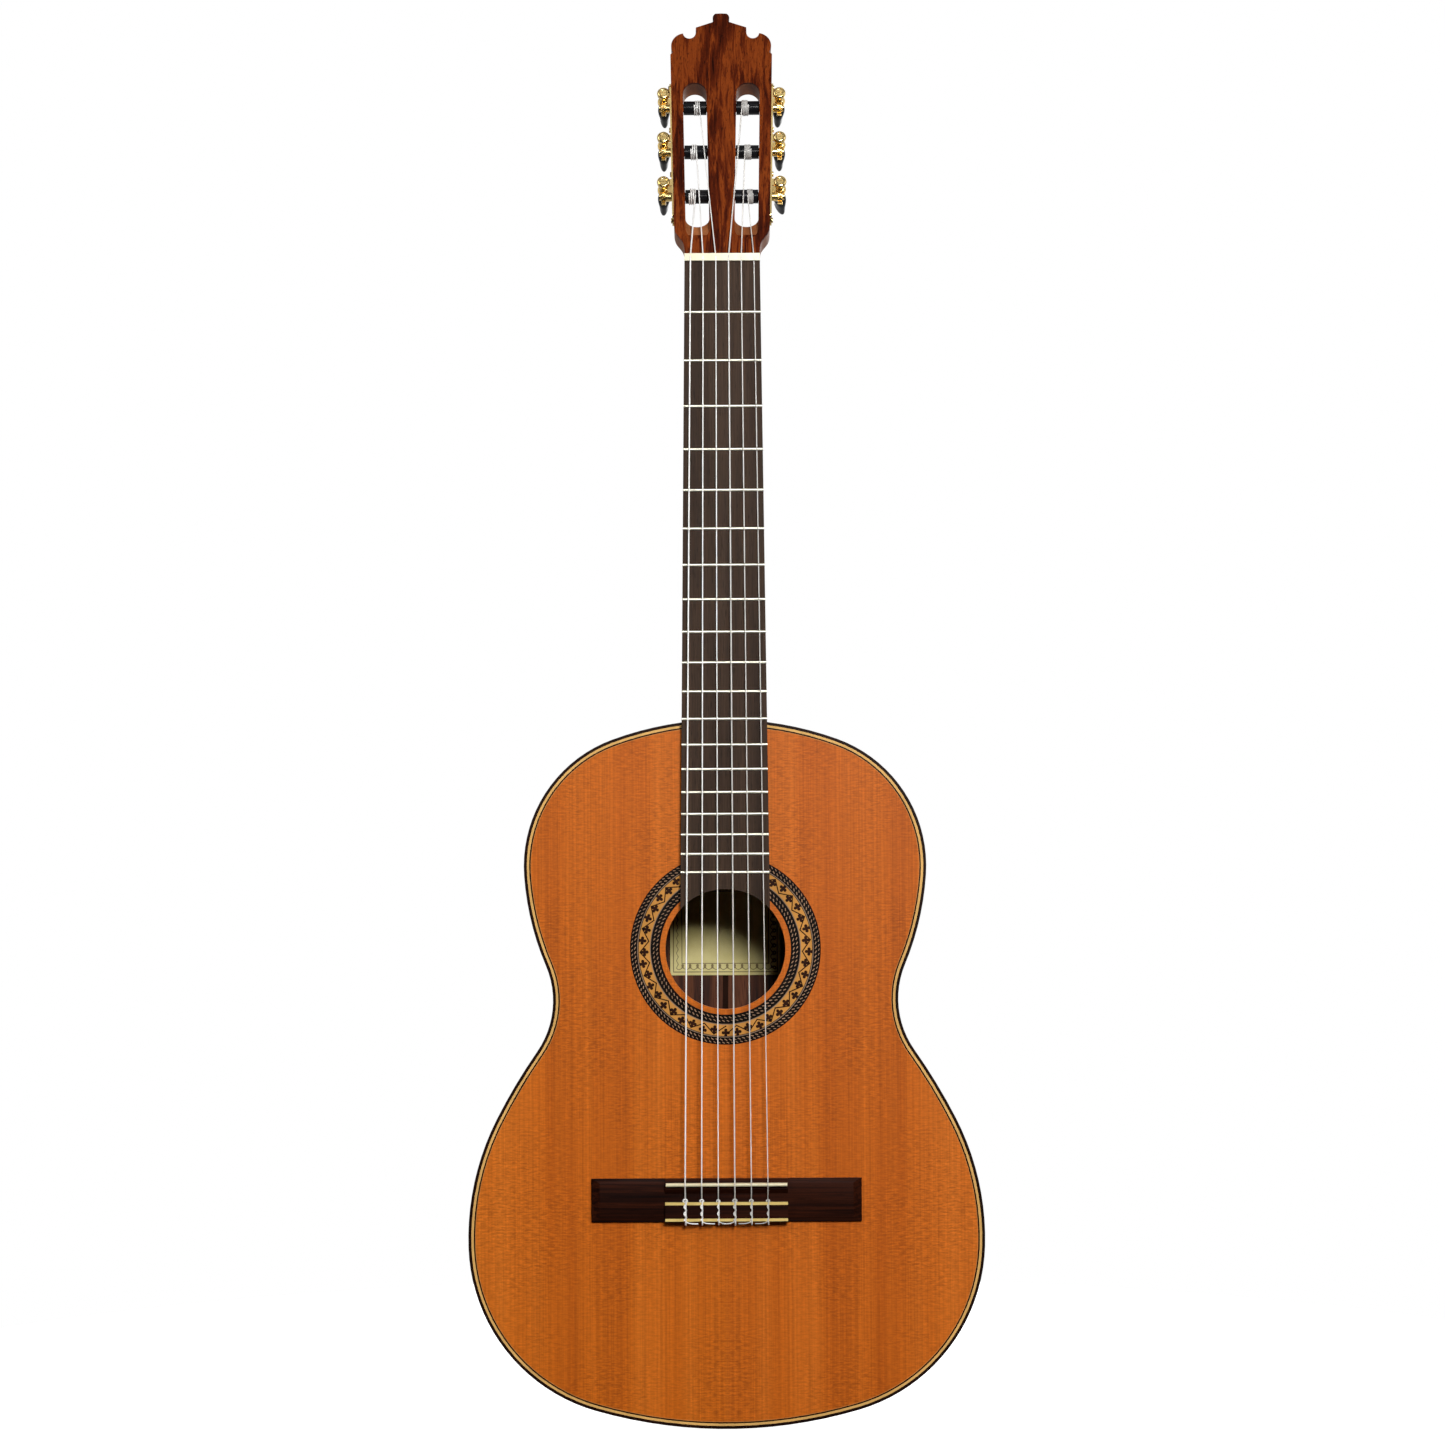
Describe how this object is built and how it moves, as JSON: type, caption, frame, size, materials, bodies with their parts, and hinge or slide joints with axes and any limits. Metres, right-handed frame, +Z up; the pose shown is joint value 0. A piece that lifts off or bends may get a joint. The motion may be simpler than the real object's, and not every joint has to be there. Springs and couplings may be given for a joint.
{
  "type": "classical guitar",
  "caption": "Nylon-string classical guitar with an inlaid soundhole ring, slotted head, tie bridge and worm-geared tuning machines that turn.",
  "frame": {"origin": "on the centre line where the nut's front edge meets the fingerboard, at the level of the soundboard's outer face; a cradle or hanger holds the neck here, just below the head", "axes": "+X to the treble side, +Y from the front into the body, +Z up the neck to the head"},
  "size_m": [0.3632, 0.1147, 1.0131],
  "materials": {
    "cedar": "gloss lacquered cedar with fine straight grain",
    "inner_spruce": "raw spruce and cedar inner wood",
    "rosewood_body": "gloss rosewood",
    "rosewood_head": "gloss rosewood veneer",
    "rosewood_bridge": "satin rosewood",
    "binding_wood": "dark rosewood binding, gloss",
    "maple_line": "yellow and black line inlay",
    "mosaic": "end-grain wood mosaic, gloss",
    "rope_inlay": "dark rope-pattern inlay, gloss",
    "mahogany": "satin mahogany",
    "fingerboard_wood": "oiled dark wood",
    "nickel_silver": "polished",
    "bone": "polished bone",
    "gold_plate": "polished gold plating",
    "black_roller": "black, gloss",
    "black_button": "black, gloss",
    "nylon": "clear nylon",
    "wound_string": "silver-plated winding",
    "paper": "cream paper"
  },
  "bodies": {
    "root": {"soundboard": "cedar", "rosette_mosaic": "mosaic", "rosette_rope_bands": "rope_inlay", "back_bass_half": "rosewood_body", "back_treble_half": "rosewood_body", "back_centre_strip": "maple_line", "side_bass": "rosewood_body", "side_treble": "rosewood_body", "linings": "inner_spruce", "tail_block": "mahogany", "soundboard_braces": "inner_spruce", "back_braces": "inner_spruce", "top_binding": "binding_wood", "top_purfling": "maple_line", "back_binding": "binding_wood", "end_graft": "maple_line", "label": "paper", "neck": "mahogany", "heel_cap": "rosewood_body", "headstock": "mahogany", "head_veneer": "rosewood_head", "fingerboard": "fingerboard_wood", "frets": "nickel_silver", "nut": "bone", "bridge": "rosewood_bridge", "saddle": "bone", "tie_block_trim": "bone", "tuner_plate_bass": "gold_plate", "tuner_plate_treble": "gold_plate", "tuner_screws": "gold_plate", "string_1_high_e": "nylon", "string_2_b": "nylon", "string_3_g": "nylon", "string_4_d": "wound_string", "string_5_a": "wound_string", "string_6_low_e": "wound_string"},
    "roller_body_1": {"roller_1": "black_roller", "gear_1": "gold_plate"},
    "button_body_1": {"worm_shaft_1": "gold_plate", "button_1": "black_button"},
    "roller_body_2": {"roller_2": "black_roller", "gear_2": "gold_plate"},
    "button_body_2": {"worm_shaft_2": "gold_plate", "button_2": "black_button"},
    "roller_body_3": {"roller_3": "black_roller", "gear_3": "gold_plate"},
    "button_body_3": {"worm_shaft_3": "gold_plate", "button_3": "black_button"},
    "roller_body_4": {"roller_4": "black_roller", "gear_4": "gold_plate"},
    "button_body_4": {"worm_shaft_4": "gold_plate", "button_4": "black_button"},
    "roller_body_5": {"roller_5": "black_roller", "gear_5": "gold_plate"},
    "button_body_5": {"worm_shaft_5": "gold_plate", "button_5": "black_button"},
    "roller_body_6": {"roller_6": "black_roller", "gear_6": "gold_plate"},
    "button_body_6": {"worm_shaft_6": "gold_plate", "button_6": "black_button"}
  },
  "joints": [
    {"name": "roller_1_turn", "type": "hinge", "parent": "root", "child": "roller_body_1", "pos_m": [0.018, 0.01973, 0.051], "axis": [1, 0, 0], "continuous": true},
    {"name": "button_1_turn", "type": "hinge", "parent": "root", "child": "button_body_1", "pos_m": [0.0418, 0.03136, 0.05635], "axis": [0, -0.9703, 0.2419], "continuous": true},
    {"name": "roller_2_turn", "type": "hinge", "parent": "root", "child": "roller_body_2", "pos_m": [0.018, 0.02819, 0.08496], "axis": [1, 0, 0], "continuous": true},
    {"name": "button_2_turn", "type": "hinge", "parent": "root", "child": "button_body_2", "pos_m": [0.0418, 0.03983, 0.09031], "axis": [0, -0.9703, 0.2419], "continuous": true},
    {"name": "roller_3_turn", "type": "hinge", "parent": "root", "child": "roller_body_3", "pos_m": [0.018, 0.03666, 0.11893], "axis": [1, 0, 0], "continuous": true},
    {"name": "button_3_turn", "type": "hinge", "parent": "root", "child": "button_body_3", "pos_m": [0.0418, 0.0483, 0.12427], "axis": [0, -0.9703, 0.2419], "continuous": true},
    {"name": "roller_4_turn", "type": "hinge", "parent": "root", "child": "roller_body_4", "pos_m": [-0.018, 0.03666, 0.11893], "axis": [1, 0, 0], "continuous": true},
    {"name": "button_4_turn", "type": "hinge", "parent": "root", "child": "button_body_4", "pos_m": [-0.0418, 0.0483, 0.12427], "axis": [0, -0.9703, 0.2419], "continuous": true},
    {"name": "roller_5_turn", "type": "hinge", "parent": "root", "child": "roller_body_5", "pos_m": [-0.018, 0.02819, 0.08496], "axis": [1, 0, 0], "continuous": true},
    {"name": "button_5_turn", "type": "hinge", "parent": "root", "child": "button_body_5", "pos_m": [-0.0418, 0.03983, 0.09031], "axis": [0, -0.9703, 0.2419], "continuous": true},
    {"name": "roller_6_turn", "type": "hinge", "parent": "root", "child": "roller_body_6", "pos_m": [-0.018, 0.01973, 0.051], "axis": [1, 0, 0], "continuous": true},
    {"name": "button_6_turn", "type": "hinge", "parent": "root", "child": "button_body_6", "pos_m": [-0.0418, 0.03136, 0.05635], "axis": [0, -0.9703, 0.2419], "continuous": true}
  ],
  "couplings": [
    {"joint": "button_1_turn", "follows": "roller_1_turn", "ratio": -14},
    {"joint": "button_2_turn", "follows": "roller_2_turn", "ratio": -14},
    {"joint": "button_3_turn", "follows": "roller_3_turn", "ratio": -14},
    {"joint": "button_4_turn", "follows": "roller_4_turn", "ratio": 14},
    {"joint": "button_5_turn", "follows": "roller_5_turn", "ratio": 14},
    {"joint": "button_6_turn", "follows": "roller_6_turn", "ratio": 14}
  ]
}
